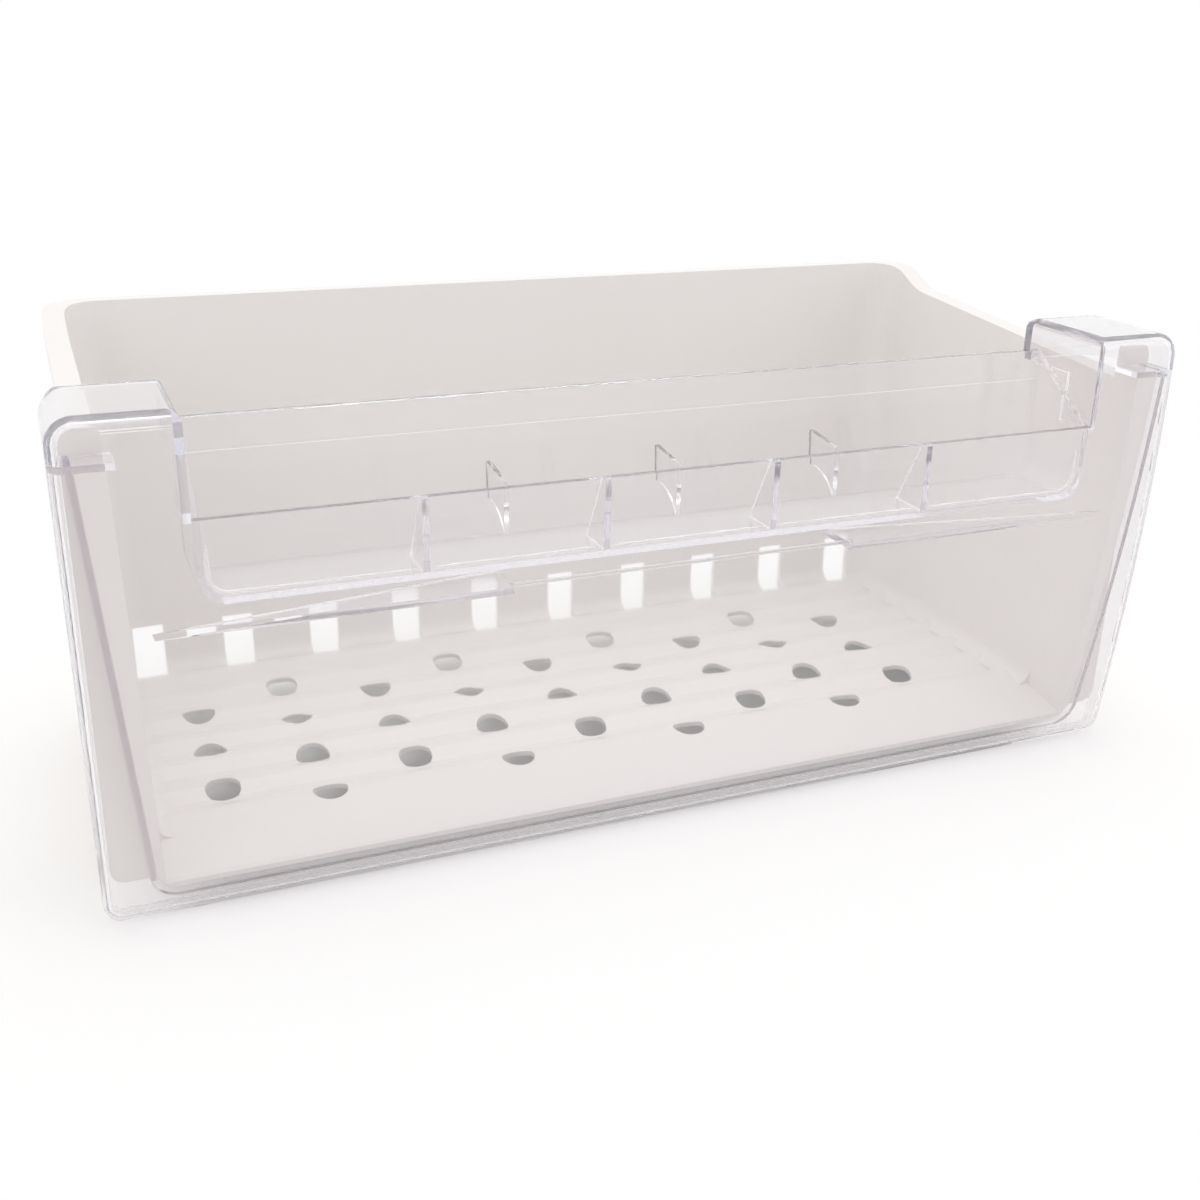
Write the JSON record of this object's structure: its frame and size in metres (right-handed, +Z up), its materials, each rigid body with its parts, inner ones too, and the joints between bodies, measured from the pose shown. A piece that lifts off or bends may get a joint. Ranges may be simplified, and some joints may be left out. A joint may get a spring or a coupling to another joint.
{
  "type": "freezer drawer",
  "caption": "Freezer drawer with a white drained basket and a clear bowed front that holds a finger trough between two corner towers.",
  "frame": {"origin": "centre of the footprint on the surface it stands on", "axes": "+X along the width to the right as seen from the front, -Y towards the clear front, +Z up"},
  "size_m": [0.43, 0.1964, 0.183],
  "materials": {
    "white_plastic": "satin moulded",
    "clear_cover": "clear moulded",
    "clear_trough": "clear moulded"
  },
  "bodies": {
    "root": {"basket": "white_plastic", "front_cover": "clear_cover", "handle_trough": "clear_trough"}
  },
  "joints": []
}
